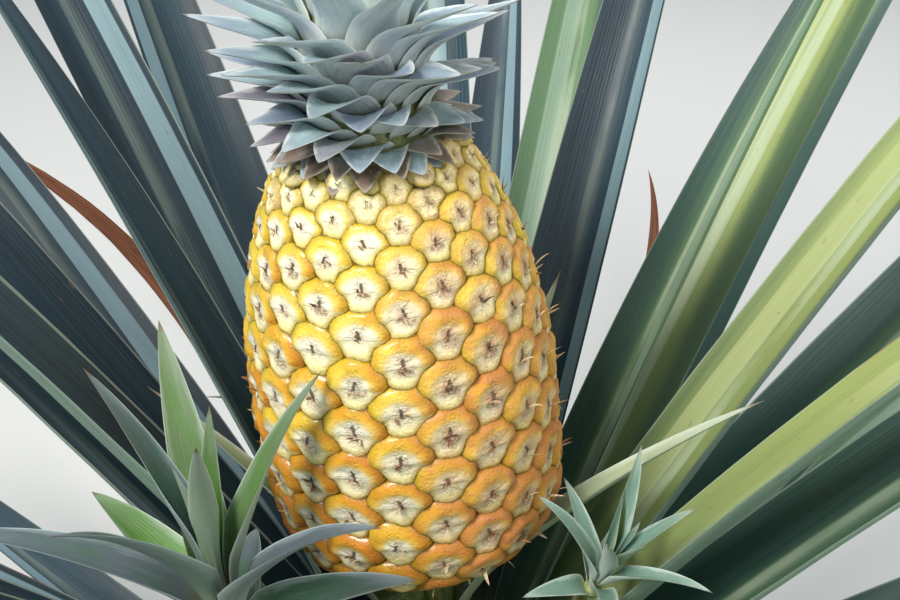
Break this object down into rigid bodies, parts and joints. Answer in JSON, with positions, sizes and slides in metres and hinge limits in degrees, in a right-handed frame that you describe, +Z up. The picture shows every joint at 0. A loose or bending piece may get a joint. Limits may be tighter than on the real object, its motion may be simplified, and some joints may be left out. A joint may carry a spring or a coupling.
{
  "type": "pineapple plant",
  "caption": "Whole pineapple plant with a short stem, a rosette of long channelled leaves, and a stalk that carries a ripe leafy-topped fruit with small plantlets at its foot.",
  "frame": {"origin": "centre of the flat cut under the stem, at ground level", "axes": "+Z up along the stem, -Y towards the plant's front, where the fruit leans and shows best, +X to the viewer's right"},
  "size_m": [1.572, 1.667, 0.8657],
  "materials": {
    "stem": "dull brownish green, fibrous",
    "stalk": "matt green, finely ribbed",
    "fruit_skin": "smooth waxy yellow to orange eyes with pale bracts",
    "crown_leaf": "silvery grey green, matt",
    "slip_leaf": "green with a grey bloom",
    "leaf": "blue green, smooth, with a pale bloom and fine ribs lengthwise",
    "dry_leaf": "dry, brown, matt"
  },
  "bodies": {
    "root": {"stem": "stem", "stalk": "stalk", "fruit": "fruit_skin", "crown": "crown_leaf", "slip_1": "slip_leaf", "slip_2": "slip_leaf", "slip_3": "slip_leaf", "slip_4": "slip_leaf", "stalk_leaf_1": "slip_leaf", "stalk_leaf_2": "slip_leaf", "stalk_leaf_3": "slip_leaf", "stalk_leaf_4": "slip_leaf", "stalk_leaf_5": "slip_leaf", "sword_leaf_01": "leaf", "sword_leaf_02": "leaf", "sword_leaf_03": "leaf", "sword_leaf_04": "dry_leaf", "sword_leaf_05": "leaf", "sword_leaf_06": "leaf", "sword_leaf_07": "dry_leaf", "sword_leaf_08": "leaf", "sword_leaf_09": "leaf", "sword_leaf_10": "leaf", "sword_leaf_11": "leaf", "sword_leaf_12": "leaf", "sword_leaf_13": "leaf", "sword_leaf_14": "leaf", "sword_leaf_15": "leaf", "sword_leaf_16": "leaf", "sword_leaf_17": "leaf", "sword_leaf_18": "leaf", "sword_leaf_19": "leaf", "sword_leaf_20": "leaf", "sword_leaf_21": "leaf", "sword_leaf_22": "leaf", "sword_leaf_23": "leaf", "sword_leaf_24": "leaf", "sword_leaf_25": "leaf", "sword_leaf_26": "leaf", "sword_leaf_27": "leaf", "sword_leaf_28": "leaf", "sword_leaf_29": "leaf", "sword_leaf_30": "leaf", "sword_leaf_31": "leaf", "sword_leaf_32": "leaf", "sword_leaf_33": "leaf", "sword_leaf_34": "leaf", "sword_leaf_35": "leaf", "sword_leaf_36": "leaf", "sword_leaf_37": "leaf", "sword_leaf_38": "leaf", "sword_leaf_39": "leaf", "sword_leaf_40": "leaf", "sword_leaf_41": "leaf", "sword_leaf_42": "leaf", "sword_leaf_43": "leaf", "sword_leaf_44": "leaf", "sword_leaf_45": "leaf"}
  },
  "joints": []
}
